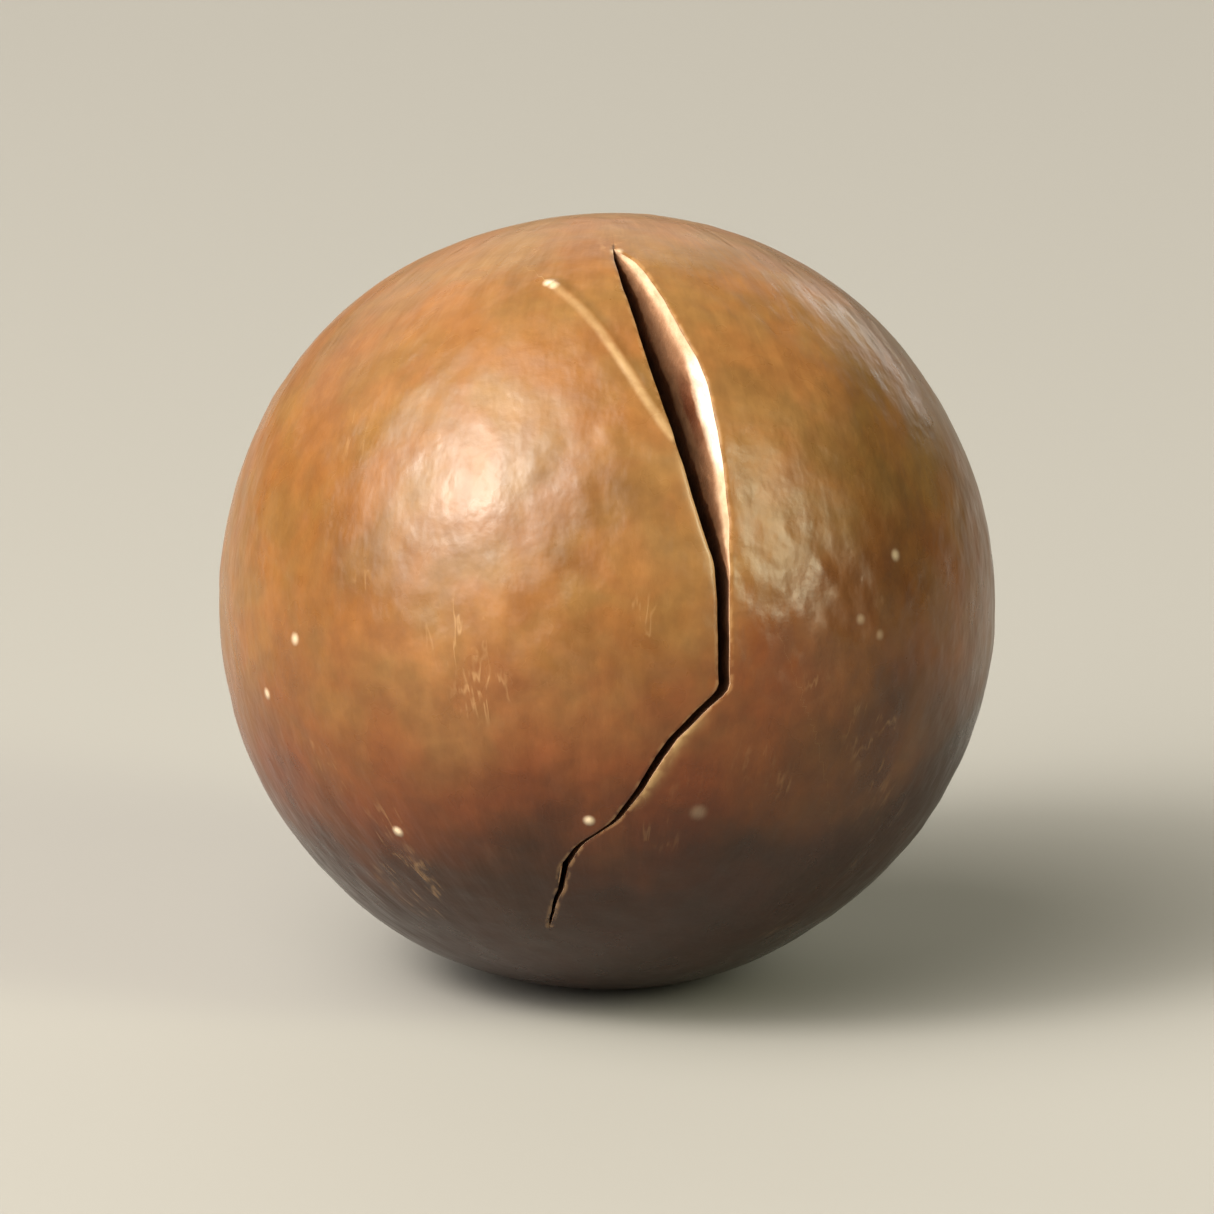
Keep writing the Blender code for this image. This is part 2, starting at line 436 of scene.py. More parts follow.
def skin_height():
    """Large swellings, hammering and marks, added up for every point of the grid."""
    dented = hammered(on_sphere) * smooth_step(from_scar, SCAR_RADIUS, HAMMERING_STARTS_AT)
    start = np.linalg.norm(on_sphere - scratch_path[0], axis=-1)
    scratch = SCRATCH_RIDGE * bell(from_scratch, SCRATCH_HALF_WIDTH)
    scratch -= SCRATCH_GROOVE * bell(from_scratch - SCRATCH_GROOVE_AT, SCRATCH_HALF_WIDTH)
    scratch += SCRATCH_START_HEIGHT * bell(start, SCRATCH_START_WIDTH)
    seam = -SEAM_GROOVE * bell(from_seam, SEAM_HALF_WIDTH)
    ring = PORE_RING_HEIGHT * bell(from_pore - PORE_RING_AT, PORE_RING_WIDTH)
    pit = -PORE_DEPTH * np.sqrt(np.clip(1 - (from_pore / PORE_RADIUS) ** 2, 0, 1))
    shoulder = -SHOULDER_DROP * np.clip(1 - from_lip / SHOULDER_WIDTH, 0, 1) ** 2
    return swelling(around) + dented + scratch + seam + ring + pit + shoulder


def smaller(first, second, round_over):
    """The smaller of two heights, with the corner between them rounded off."""
    share = np.clip(0.5 + 0.5 * (second - first) / round_over, 0, 1)
    return second + (first - second) * share - round_over * share * (1 - share)


SCAR_RIM_ROUNDING = 0.12 * MM
# A direction that points down less than this meets the level of the scar far outside the nut.
LEAST_DOWNWARD = -0.2
to_scar_level = SCAR_LEVEL / np.minimum(around[..., 2], LEAST_DOWNWARD)
skin_radius = smaller(NUT_RADIUS + skin_height(), to_scar_level, SCAR_RIM_ROUNDING)
skin = around * skin_radius[..., None]
print("The skin stands between", np.round((skin_radius.min() - NUT_RADIUS) / MM, 3), "and",
      np.round((skin_radius.max() - NUT_RADIUS) / MM, 3), "mm off the plain ball.")

# %% [markdown]
# ## The walls of the crack
#
# The solid nut has a tapered groove here: its walls are straight, and its floor is a quarter as
# wide as its mouth. The fine surface keeps that shape and adds what a broken shell shows. About
# 2.3 mm down, where the shell ends, the wall steps back a little, and both walls are rough. The
# roughness is held to a small share of the gap, so that the two walls never touch.

# %% Columns down the left wall, across the floor and up the right wall
CRACK_DEPTH = 5.0 * MM
CRACK_DEEPEST_WIDTH = 1.8 * MM
CRACK_DEPTH_POWER = 0.4
CRACK_FLOOR_SHARE = 0.25
WALL_STEPS = 13
WALL_CROWDING = 1.7
SHELL_THICKNESS = 2.3 * MM
STEP_BACK, STEP_LENGTH = 0.10 * MM, 0.35 * MM
WALL_ROUGHNESS = ((0.9 * MM, 0.022 * MM), (0.5 * MM, 0.010 * MM))
WALL_SEED = 41
ROUGHNESS_SHARE_OF_GAP = 0.12
# The roughness is full a twelfth of the way down from the lip, and up to a quarter from the floor.
RISE_AT_LIP, RISE_AT_FLOOR = 12, 4
# Where the gap closes, its width counts as this much, so that nothing is divided by 0.
LEAST_GAP = 1e-9

left_way, right_way = around[:, -1], around[:, 0]
left_lip, right_lip = skin[:, -1], skin[:, 0]
gap = np.linalg.norm(right_way - left_way, axis=1) * NUT_RADIUS
crack_depth = np.minimum(CRACK_DEPTH * (gap / CRACK_DEEPEST_WIDTH) ** CRACK_DEPTH_POWER, CRACK_DEPTH)
middle_way = (left_way + right_way) / np.linalg.norm(left_way + right_way, axis=1, keepdims=True)
half_floor = (right_way - left_way) * CRACK_FLOOR_SHARE / 2
floor_radius = (NUT_RADIUS - crack_depth)[:, None]
opening = np.linalg.norm(right_way - left_way, axis=1, keepdims=True)
across = (right_way - left_way) / np.maximum(opening, LEAST_GAP)

# Each wall column is (share of the way down, side), where side runs from -1, left, to 1, right.
down_share = (np.arange(1, WALL_STEPS + 1) / WALL_STEPS) ** WALL_CROWDING
wall_share = np.concatenate((down_share, (1.0,), down_share[::-1]))
wall_side = np.concatenate((np.full(WALL_STEPS, -1.0), (0.0,), np.full(WALL_STEPS, 1.0)))

lip_of_side = np.where(wall_side[None, :, None] < 0, left_lip[:, None], right_lip[:, None])
floor_point = (middle_way[:, None] + half_floor[:, None] * wall_side[None, :, None]) * floor_radius[:, None]
wall = lip_of_side + (floor_point - lip_of_side) * wall_share[None, :, None]
wall_depth = crack_depth[:, None] * wall_share[None, :]

gap_here = gap[:, None] * (1 - (1 - CRACK_FLOOR_SHARE) * wall_share[None, :])
rough_waves = waves(WALL_ROUGHNESS, WAVES_IN_A_FINE_BAND, WALL_SEED)
rough = wave_height(wall, rough_waves)
rough += STEP_BACK * smooth_step(wall_depth, SHELL_THICKNESS, SHELL_THICKNESS + STEP_LENGTH) * wall_side
limit = ROUGHNESS_SHARE_OF_GAP * gap_here
fade = np.minimum(1, (1 - wall_share) * RISE_AT_FLOOR) * np.minimum(1, wall_share * RISE_AT_LIP)
wall += across[:, None] * (np.clip(rough, -limit, limit) * fade[None, :])[..., None]
print("The crack is up to", np.round(crack_depth[is_open].max() / MM, 2), "mm deep.")

# %% [markdown]
# ## One closed mesh
#
# The skin's columns and the wall's columns are now laid side by side, and the last one joins the
# first. Where points fall together they must also be one point of the mesh: a whole row at each
# pole, and the lips and walls of every row that the crack doesn't reach. A table of numbers, one
# for each place of the grid, says which point of the mesh belongs there. Each square of the grid
# becomes two triangles, and a triangle that uses one point twice is dropped.

# %% From the grid to a mesh
def number_the_points(rows, skin_columns, wall_columns):
    """A table of point numbers. Places that fall together share the number of the first of them."""
    columns = skin_columns + wall_columns
    numbers = np.arange(rows * columns).reshape(rows, columns)
    numbers[~is_open, skin_columns - 1:] = numbers[~is_open, :1]
    numbers[(0, -1), :] = numbers[(0, -1), :1]
    return numbers


def triangles_of(numbers):
    """Two triangles for each square of a grid whose columns run round in a ring."""
    after = np.roll(numbers, -1, axis=1)
    a, b, c, d = numbers[:-1], after[:-1], after[1:], numbers[1:]
    found = np.concatenate((np.stack((a, b, c), -1).reshape(-1, 3), np.stack((a, c, d), -1).reshape(-1, 3)))
    same = (found[:, 0] == found[:, 1]) | (found[:, 1] == found[:, 2]) | (found[:, 2] == found[:, 0])
    return found[~same]


numbers = number_the_points(ROWS + 1, COLUMNS + 1, len(wall_share))
triangles = triangles_of(numbers)
used, triangles = np.unique(triangles, return_inverse=True)
triangles = triangles.reshape(-1, 3)

plain_ball = around * (NUT_RADIUS + swelling(around))[..., None]
middle = (plain_ball.min(axis=(0, 1)) + plain_ball.max(axis=(0, 1))) / 2
NUT_MIDDLE = np.array((-middle[0], -middle[1], -SCAR_LEVEL))
points = np.concatenate((skin, wall), axis=1).reshape(-1, 3)[used] + NUT_MIDDLE

a, b, c = (points[triangles[:, corner]] for corner in range(3))
volume = np.einsum("ij,ij->i", a, np.cross(b, c)).sum() / 6
if volume < 0:
    triangles = triangles[:, ::-1]
print("Points:", len(points), "triangles:", len(triangles), "volume in cm3:", round(abs(volume) * 1e6, 3))

# %% Put it into Blender
SHARP_ANGLE = math.radians(40)

mesh = bpy.data.meshes.new("cracked_shell")
mesh.from_pydata(points.tolist(), [], triangles.tolist())
mesh.shade_smooth()
mesh.set_sharp_from_angle(angle=SHARP_ANGLE)
mesh.update()
shell = bpy.data.objects.new("cracked_shell", mesh)
bpy.context.scene.collection.objects.link(shell)
print("Nut mesh made:", mesh.name, "closed:", all(count == 2 for count in np.unique(
    np.sort(np.stack((triangles, np.roll(triangles, -1, axis=1)), -1).reshape(-1, 2), axis=1),
    axis=0, return_counts=True)[1]))

# %% [markdown]
# ## Numbers for the finish
#
# The finish has to know where on the nut it is: on the skin or on the wall of the crack, near a
# lip, on the scratch. Painting a mask for each would be as coarse as the grid. A distance changes
# evenly from point to point, so it can be stored at the points and cut off sharply in the
# material, between two points of the grid.
#
# The wall has three zones as it goes down: the pale broken shell, a pinkish tan, and the dark,
# which is painted shade. How far each reaches differs along the crack, so a distance is turned into
# a zone number first: 1 to 2 through the pale part, 2 to 3 through the tan, 3 to 4 into the painted
# shade. The skin has zone 0.
#
# On the right wall, which faces the eye, that distance is measured on the flat drawing, leftwards
# from the right lip. Near the top the shell curves away, and what shows there belongs to a higher
# place on the wall than the lip beside it, so the depth alone would put the dark in the wrong
# place. The left wall is hidden behind its own lip, and there the depth is enough.

# %% Zones of the broken wall
# On the right wall: height as seen, how far left of the lip the pale part reaches, and where the
# painted shade begins, in millimetres on the flat drawing.
WALL_BANDS = np.array((
    (11.30, 0.12, 0.20),
    (10.85, 0.30, 0.52),
    (10.45, 0.38, 0.66),
    (10.00, 0.38, 0.80),
    (9.11, 0.34, 1.00),
    (8.50, 0.36, 1.16),
    (7.80, 0.43, 1.31),
    (7.30, 0.50, 1.34),
    (6.73, 0.54, 1.31),
    (6.00, 0.56, 1.24),
    (5.50, 0.48, 1.11),
    (4.36, 0.36, 0.99),
    (3.50, 0.33, 0.83),
    (2.50, 0.30, 0.56),
    (1.30, 0.10, 0.25),
    (0.60, 0.02, 0.05),
    (-10.50, 0.02, 0.04),
))
DEEPEST_PALE, DEEPEST_TAN = 2.8, 4.0
LEFT_PALE, LEFT_TAN = 0.8, 1.7
FULL_BANDS_AT_GAP, LEAST_BANDS_SHARE = 1.2 * MM, 0.05
DARK_FADE_SHARE = 0.15


def zone_number(distance, pale, dark):
    """1 at the lip, 2 where the pale part ends, 3 where the painted shade begins, and 4 a little further.
    """
    in_pale = np.clip(distance / pale, 0, 1)
    in_tan = np.clip((distance - pale) / (dark - pale), 0, 1)
    in_dark = np.clip((distance - dark) / (DARK_FADE_SHARE * dark), 0, 1)
    return 1 + in_pale + in_tan + in_dark


def zones_of_the_wall():
    """The right wall's zones by the flat drawing or by depth, whichever is darker, and the
    left wall's by depth, in proportion to the gap."""
    depth = wall_depth / MM
    seen = wall @ SEEN_AXES.T / MM
    height = np.clip(seen[..., 2], CRACK_BOTTOM, CRACK_TOP)
    inwards = lips(height)[1] - seen[..., 0]
    upwards = WALL_BANDS[::-1]
    pale, dark = (np.interp(height, upwards[:, 0], upwards[:, column]) for column in (1, 2))
    right = np.maximum(zone_number(inwards, pale, dark), zone_number(depth, DEEPEST_PALE, DEEPEST_TAN))
    opened = np.clip(gap / FULL_BANDS_AT_GAP, LEAST_BANDS_SHARE, 1)[:, None]
    left = zone_number(depth, LEFT_PALE * opened, LEFT_TAN * opened)
    return np.where(wall_side > 0, right, left)


wall_zones = zones_of_the_wall()
print("Share of the wall that is dark:", np.round(float((wall_zones[is_open] >= 3).mean()), 2))

# %% Store zones and distances with the mesh
STRIPE_AT, STRIPE_REACH = 6.10, 1.20
# The right lip of the slanting stretch is chipped pale between these heights as seen.
CHIPPED_FROM, CHIPPED_TO, CHIPPED_FADE, CHIPPED_WIDTH = -6.9, -3.4, 0.9, 0.30 * MM
# The broken shell is whitest between these heights as seen, and pinker above and below.
WHITEST_FROM, WHITEST_TO, WHITEST_FADE = 4.2, 7.75, 0.35
WORN_LIP_FROM, WORN_LIP_TO, WORN_LIP_FADE, WORN_LIP_WIDTH = 0.4, 4.9, 0.8, 0.17 * MM
NOWHERE_NEAR = 20.0


def store(name, on_skin, on_wall):
    """Stores one number for each point of the mesh, from its values on the skin and the wall."""
    both = (np.broadcast_to(on_skin, skin.shape[:2]), np.broadcast_to(on_wall, wall.shape[:2]))
    values = np.concatenate(both, axis=1).reshape(-1)[used]
    mesh.attributes.new(name, "FLOAT", "POINT").data.foreach_set("value", values.astype(np.float32))


worn = smooth_step(row_height, WORN_LIP_FROM, WORN_LIP_FROM + WORN_LIP_FADE)
worn *= 1 - smooth_step(row_height, WORN_LIP_TO - WORN_LIP_FADE, WORN_LIP_TO)
chipped = smooth_step(row_height, CHIPPED_FROM, CHIPPED_FROM + CHIPPED_FADE)
chipped *= 1 - smooth_step(row_height, CHIPPED_TO - CHIPPED_FADE, CHIPPED_TO)
wall_height = wall @ SEEN_UP / MM
whitest = smooth_step(wall_height, WHITEST_FROM - WHITEST_FADE, WHITEST_FROM + WHITEST_FADE)
whitest *= 1 - smooth_step(wall_height, WHITEST_TO - WHITEST_FADE, WHITEST_TO + WHITEST_FADE)
store("crack_zone", 0.0, wall_zones)
store("stripe", 0.0, bell(wall_height - STRIPE_AT, STRIPE_REACH))
store("whitest", 0.0, whitest)
store("worn_lip", worn[:, None] * bell(from_left, WORN_LIP_WIDTH), 0.0)
store("chipped_lip", chipped[:, None] * bell(from_right, CHIPPED_WIDTH), 0.0)
store("from_lip_mm", from_lip / MM, 0.0)
store("from_scratch_mm", from_scratch / MM, NOWHERE_NEAR)
store("from_seam_mm", from_seam / MM, NOWHERE_NEAR)
store("from_pore_mm", from_pore / MM, NOWHERE_NEAR)
store("from_scar_mm", np.where(around[..., 2] < 0, from_scar / MM, NOWHERE_NEAR), NOWHERE_NEAR)
print("Stored with the mesh:", [a.name for a in mesh.attributes if a.data_type == "FLOAT"])

# %% [markdown]
# ## Helpers for the finish
#
# A material is a graph of nodes. Written out node by node it is hard to read, so each helper here
# adds one kind of node and gives back its output. An input may be a number, a colour or another
# output, and is set or linked to suit.

# %% Small node helpers
def srgb(red, green, blue):
    """A colour as a screen shows it, 0 to 255, turned into the linear values that light adds up in."""
    parts = np.array((red, green, blue)) / 255
    linear = np.where(parts <= 0.04045, parts / 12.92, ((parts + 0.055) / 1.055) ** 2.4)
    return (*linear.tolist(), 1.0)


def feed(tree, socket, value):
    """Links an output to this input, or sets a plain value on it."""
    if isinstance(value, bpy.types.NodeSocket):
        tree.links.new(value, socket)
    else:
        socket.default_value = value


def add(tree, kind, inputs, **settings):
    """Adds a node, applies its settings and feeds its inputs, given by name or by number."""
    node = tree.nodes.new(kind)
    for name, setting in settings.items():
        setattr(node, name, setting)
    for name, value in inputs.items():
        feed(tree, node.inputs[name], value)
    return node


def stored(tree, name):
    """The number stored with the mesh under this name."""
    return add(tree, "ShaderNodeAttribute", {}, attribute_name=name).outputs["Fac"]


def compute(tree, operation, first, second=0.0, clamp=False):
    """Two values joined by arithmetic."""
    node = add(tree, "ShaderNodeMath", {0: first, 1: second}, operation=operation, use_clamp=clamp)
    return node.outputs["Value"]


def times(tree, first, *others):
    """All the values multiplied together."""
    for other in others:
        first = compute(tree, "MULTIPLY", first, other)
    return first


def rise(tree, value, start, end, low=0.0, high=1.0, curve="SMOOTHSTEP"):
    """Goes from low to high while the value goes from start to end, in an S or in a straight line."""
    node = add(tree, "ShaderNodeMapRange",
               {"Value": value, "From Min": start, "From Max": end, "To Min": low, "To Max": high},
               interpolation_type=curve)
    return node.outputs["Result"]


def cloud(tree, where, size, detail=2.0, roughness=0.5, distortion=0.0):
    """Cloudy noise whose lumps are about this size, in metres. Its values lie around 0.5."""
    inputs = {"Vector": where, "Scale": 1 / size, "Detail": detail, "Roughness": roughness,
              "Distortion": distortion}
    return add(tree, "ShaderNodeTexNoise", inputs).outputs["Fac"]


def shift(tree, where, size, detail, reach):
    """A cloud as a shift either way: its value less 0.5, times the reach."""
    return times(tree, compute(tree, "SUBTRACT", cloud(tree, where, size, detail), 0.5), reach)


def blend(tree, share, first, second, kind="MIX"):
    """The first colour, with this share of the second laid over it."""
    node = tree.nodes.new("ShaderNodeMix")
    node.data_type, node.blend_type = "RGBA", kind
    for number, value in ((0, share), (6, first), (7, second)):
        feed(tree, node.inputs[number], value)
    return node.outputs[2]


def blend_value(tree, share, first, second):
    """The first number, with this share of the second in its place."""
    node = add(tree, "ShaderNodeMix", {0: share, 2: first, 3: second}, data_type="FLOAT")
    return node.outputs[0]


def tinted(tree, colour, share, first, second):
    """The colour multiplied by a tint, which goes from the first to the second with the share."""
    return blend(tree, 1.0, colour, blend(tree, share, (*first, 1.0), (*second, 1.0)), "MULTIPLY")


def shades(tree, value, stops):
    """A colour for each value, from stops of (value, colour)."""
    node = add(tree, "ShaderNodeValToRGB", {"Fac": value})
    marks = node.color_ramp.elements
    while len(marks) < len(stops):
        marks.new(1.0)
    for mark, (position, colour) in zip(marks, stops):
        mark.position, mark.color = position, colour
    return node.outputs["Color"]


def stacked(tree, *layers):
    """A height in metres, from layers of (pattern, height of its full range)."""
    total = 0.0
    for pattern, height in layers:
        total = compute(tree, "ADD", total, compute(tree, "MULTIPLY", pattern, height))
    return total


print("A mid grey of 128 is", round(srgb(128, 128, 128)[0], 3), "in linear light.")

# %% [markdown]
# ## The colour of the skin
#
# Seen from near, a macadamia isn't one brown. Caramel, olive and fawn flow into each other over
# many millimetres. Part of it is painted shade: the left side is a darker caramel, the olive on the
# right and lower right is partly painted shade, and a red mahogany and then umber make the lower
# part darker as painted shade. These colours could be painted on, but paint has the coarseness of
# its picture. Here each colour is laid over the last by a formula: it grows from nothing to its full
# strength while a mixture of width and height goes from one value to another. Clouds of noise shift
# the place first, so that no border is straight.

# %% Skin colours by place
CARAMEL = srgb(127, 86, 45)
# Painted shade: the left side of the nut is a darker caramel.
CARAMEL_PAINTED_SHADE = srgb(116, 75, 34)
# Olive is partly the shell's own colour and partly painted shade on the right and lower right.
OLIVE_AND_PAINTED_SHADE = srgb(86, 57, 20)
FAWN = srgb(114, 78, 34)
# Painted shade: mahogany makes the lower part of the nut darker and redder.
MAHOGANY_PAINTED_SHADE = srgb(96, 48, 20)
# Painted shade at the bottom of the nut. The same umber also colours the seam line and the scar's dark rim.
UMBER_MARKS_AND_SHADE = srgb(40, 18, 6)

# The clouds that shift a place: size of their lumps, detail, and full range of the shift.
SWAY = (9.0 * MM, 2.0, 9.0 * MM)
RAGGED_SWAY = (3.2 * MM, 3.0, 6.0 * MM)
# Each row: the colour, its share of the width and of the height in the mixture, where it starts
# and where it is full, its strength, and how much of it is left on the right side of the nut.
# Of these, the darker caramel on the left, part of the olive, the mahogany and the umber are painted shade.
PLACED_COLOURS = (
    (CARAMEL_PAINTED_SHADE, 1.0, 0.0, -3.5 * MM, -9.5 * MM, 1.0, 1.0),
    (OLIVE_AND_PAINTED_SHADE, 1.0, -0.35, -0.95 * MM, 3.05 * MM, 0.95, 1.0),
    (FAWN, 1.0, 0.0, 8.2 * MM, 10.4 * MM, 0.8, 1.0),
    (MAHOGANY_PAINTED_SHADE, -0.30, 1.0, 16.4 * MM, 9.6 * MM, 0.95, 0.55),
    (UMBER_MARKS_AND_SHADE, -0.18, 1.0, 10.4 * MM, 5.5 * MM, 0.95, 1.0),
)
RIGHT_SIDE_FROM, RIGHT_SIDE_TO = 4.0 * MM, 8.0 * MM


def placed_colours(tree, where):
    """Caramel with the other colours over it. Width is x plus a shift, height is z plus two."""
    place = add(tree, "ShaderNodeSeparateXYZ", {"Vector": where}).outputs
    sway = shift(tree, where, *SWAY)
    across = compute(tree, "ADD", place["X"], sway)
    up = compute(tree, "ADD", compute(tree, "ADD", place["Z"], sway), shift(tree, where, *RAGGED_SWAY))
    colour = CARAMEL
    for laid_over, across_share, up_share, start, full, strength, left_on_right in PLACED_COLOURS:
        mixture = compute(tree, "ADD", times(tree, across, across_share), times(tree, up, up_share))
        share = times(tree, rise(tree, mixture, start, full, 0.0, strength),
                      rise(tree, across, RIGHT_SIDE_FROM, RIGHT_SIDE_TO, 1.0, left_on_right))
        colour = blend(tree, share, colour, laid_over)
    return colour


print("Colours laid over the caramel:", len(PLACED_COLOURS))

# %% [markdown]
# ## Clouds in the skin
#
# Everything smaller than the large colours is cloudy noise. A cloud multiplies the colour by a
# tint instead of laying another colour over it, so that a pale cloud in the dark lower part stays
# dark. The largest clouds are darker or lighter, those of 2 mm are redder or yellower, and the
# smallest make a fine grain.

# %% Clouds of four kinds
PLAIN = (1.0, 1.0, 1.0)
# Each row: size of the lumps, detail, roughness and distortion of the noise, the noise values
# where the tint starts to change and where it has changed, and the two tints.
SKIN_CLOUDS = (
    (4.5 * MM, 3.0, 0.5, 0.0, 0.52, 0.74, PLAIN, (0.80, 0.76, 0.72)),
    (4.5 * MM, 3.0, 0.5, 0.0, 0.46, 0.28, PLAIN, (1.13, 1.17, 1.19)),
    (2.1 * MM, 3.0, 0.5, 0.4, 0.32, 0.68, (1.06, 0.96, 0.90), (0.96, 1.03, 1.03)),
    (0.7 * MM, 4.0, 0.6, 0.0, 0.30, 0.72, (0.91, 0.90, 0.89), (1.09, 1.10, 1.11)),
)


def skin_colour(tree, where):
    """The placed colours, multiplied by one tint after another."""
    colour = placed_colours(tree, where)
    for size, detail, roughness, distortion, start, end, first, second in SKIN_CLOUDS:
        lumps = cloud(tree, where, size, detail, roughness, distortion)
        colour = tinted(tree, colour, rise(tree, lumps, start, end), first, second)
    return colour


print("Caramel, in linear light:", np.round(CARAMEL[:3], 3).tolist())

# %% [markdown]
# ## Fibres and flakes
#
# The shell is made of fibres that run from the pore round to the far side, like the meridians of
# a globe. They show as faint streaks in the gloss, and where the outermost skin has dried and
# lifted, as a net of fine pale lines. A pattern that follows the meridians needs its own place for
# each point: round the axis as on a circle, so that a streak is as wide in angle everywhere, and
# only a little along the axis, so that it is drawn out long. At both ends such streaks would run
# together in a star, so the finish lets them fade before they get there.

# %% Fibres that run round the nut from the pore
FIBRE_AXIS = pore_way
FIBRE_CIRCLE = 9.0 * MM
FIBRE_DRAWN_OUT = 5.0
FLAKE = srgb(174, 134, 90)
# The net: lump size, detail, roughness and distortion of its cloud, and half the width of a line
# as a difference of the cloud's value.
FLAKE_NET = (0.7 * MM, 3.0, 0.55, 0.3)
FLAKE_LINE = 0.030
# Patches that have flaked: lump size of their cloud, the values between which they grow, and their
# strength. A finer cloud breaks the lines up.
PATCH_SIZE, PATCH_FROM, PATCH_TO, PATCH_STRENGTH = 5.0 * MM, 0.60, 0.76, 0.7
BREAK_SIZE, BREAK_FROM, BREAK_TO = 0.5 * MM, 0.40, 0.60
# Places on the front where the skin has flaked: across and up as seen, radius, and strength.
FLAKED_PLACES = ((-4.7, -1.0, 1.7, 1.0), (-4.0, -2.9, 1.4, 1.0), (1.0, -0.3, 0.8, 0.8))
FLAKED_EDGE = 0.2


def vector_math(tree, operation, inputs, output="Vector"):
    """One step of arithmetic on directions or places."""
    return add(tree, "ShaderNodeVectorMath", inputs, operation=operation).outputs[output]


def along_the_fibres(tree, where, drawn_out):
    """A place for fibre patterns: on a circle round the axis, plus a little of the way along it.
    The patterns come out this many times as long as they are wide."""
    from_middle = vector_math(tree, "SUBTRACT", {0: where, 1: NUT_MIDDLE.tolist()})
    along = vector_math(tree, "DOT_PRODUCT", {0: from_middle, 1: FIBRE_AXIS.tolist()}, "Value")
    on_axis = vector_math(tree, "SCALE", {0: FIBRE_AXIS.tolist(), "Scale": along})
    off_axis = vector_math(tree, "SUBTRACT", {0: from_middle, 1: on_axis})
    sideways = vector_math(tree, "NORMALIZE", {0: off_axis})
    circle = vector_math(tree, "SCALE", {0: sideways, "Scale": FIBRE_CIRCLE})
    little = vector_math(tree, "SCALE", {0: on_axis, "Scale": 1 / drawn_out})
    return vector_math(tree, "ADD", {0: circle, 1: little})


def near_places(tree, where, places, edge):
    """The strength of the nearest round place, falling to 0 at its rim. Places are given as
    (across, up, radius, strength), as seen in millimetres. The fall starts at this share of the radius."""
    mask = 0.0
    for across, up, radius, strength in places:
        centre = as_seen([(across, up)])[0] * NUT_RADIUS + NUT_MIDDLE
        distance = vector_math(tree, "DISTANCE", {0: where, 1: centre.tolist()}, "Value")
        place = rise(tree, distance, radius * MM, edge * radius * MM, 0.0, strength)
        mask = compute(tree, "MAXIMUM", mask, place)
    return mask


def flaked(tree, where, fibre_place):
    """Fine lines where a cloud drawn out along the fibres passes through its middle value, kept to
    patches and broken up by a finer cloud."""
    drawn = cloud(tree, fibre_place, *FLAKE_NET)
    net = compute(tree, "ABSOLUTE", compute(tree, "SUBTRACT", drawn, 0.5))
    patches = rise(tree, cloud(tree, where, PATCH_SIZE), PATCH_FROM, PATCH_TO, 0.0, PATCH_STRENGTH)
    patches = compute(tree, "MAXIMUM", patches, near_places(tree, where, FLAKED_PLACES, FLAKED_EDGE))
    broken = rise(tree, cloud(tree, where, BREAK_SIZE), BREAK_FROM, BREAK_TO)
    return times(tree, rise(tree, net, FLAKE_LINE, 0.0), patches, broken)


print("Fibres run towards:", np.round(FIBRE_AXIS, 2).tolist())

# %% [markdown]
# ## Stains
#
# A few places on the front are darker and redder than the skin round them, or paler. Each is a
# round spot, which would show as a disc. So a cloud shifts the place that the distance is measured
# at, and the outline comes out ragged.

# %% Stains on the front
# Across and up as seen, radius, and strength.
RUSSET_STAINS = (
    (-2.4, -2.2, 3.2, 0.40),
    (0.4, 2.2, 2.4, 0.25),
    (2.6, -6.8, 3.4, 0.60),
    (8.0, 0.8, 2.2, 0.30),
    (0.2, 8.2, 2.2, 0.25),
)
PALE_STAINS = ((-5.4, -3.0, 2.6, 0.60), (10.8, 2.6, 2.4, 0.60))
RUSSET_TINT, PALE_TINT = (0.62, 0.50, 0.46), (1.30, 1.40, 1.46)
STAIN_EDGE = 0.1
STAIN_SWAY = (2.4 * MM, 3.0, 5.0 * MM)


def stains(tree, colour, where):
    """The colour multiplied by a tint in each stain."""
    ragged = vector_math(tree, "ADD", {0: where, 1: shift(tree, where, *STAIN_SWAY)})
    for places, tint in ((RUSSET_STAINS, RUSSET_TINT), (PALE_STAINS, PALE_TINT)):
        colour = tinted(tree, colour, near_places(tree, ragged, places, STAIN_EDGE), PLAIN, tint)
    return colour


print("Stains:", len(RUSSET_STAINS), "darker and", len(PALE_STAINS), "paler")

# %% [markdown]
# ## Colours of the marks
#
# Every mark is a narrow band of distance: its colour grows from nothing at one distance to its
# full strength at another. The scratch is a thin ridge, pale partly in its own colour and partly as
# a painted highlight, with a brighter dot at its start. The pore is a pit in a whitish ring, painted
# near black as shade, the seam a thin darker line with flaky sides, and the scar is dull and
# lighter, with a dark rim. A speckle, which is a very fine cloud, wears most of them away in places.
# A few tiny raised dots on the skin are pale.

# %% Scar and pore
PALE_NICK = srgb(164, 129, 88)
SCAR_COLOUR = srgb(122, 94, 66)
# The pore's pit is painted near black as shade.
PORE_PIT_PAINTED_SHADE = srgb(34, 20, 12)
# Distances in millimetres from the scar's or the pore's middle where a colour starts and is full.
SCAR_FLAKES_MM, SCAR_RIM_MM, SCAR_FACE_MM = (4.6, 2.6), (2.95, 2.65), (2.6, 2.3)
PORE_RING_MM, PORE_RING_INSIDE_MM, PORE_PIT_MM = (1.30, 0.85), (0.45, 0.65), (0.55, 0.40)
SCAR_FLAKES_STRENGTH = 0.28
# The values of the speckle where a worn colour starts and is full, and its least and full share.
SCAR_FLAKES_WORN, SCAR_FACE_WORN, PORE_RING_WORN = (0.4, 0.6), (0.3, 0.6, 0.45, 1.0), (0.35, 0.6)


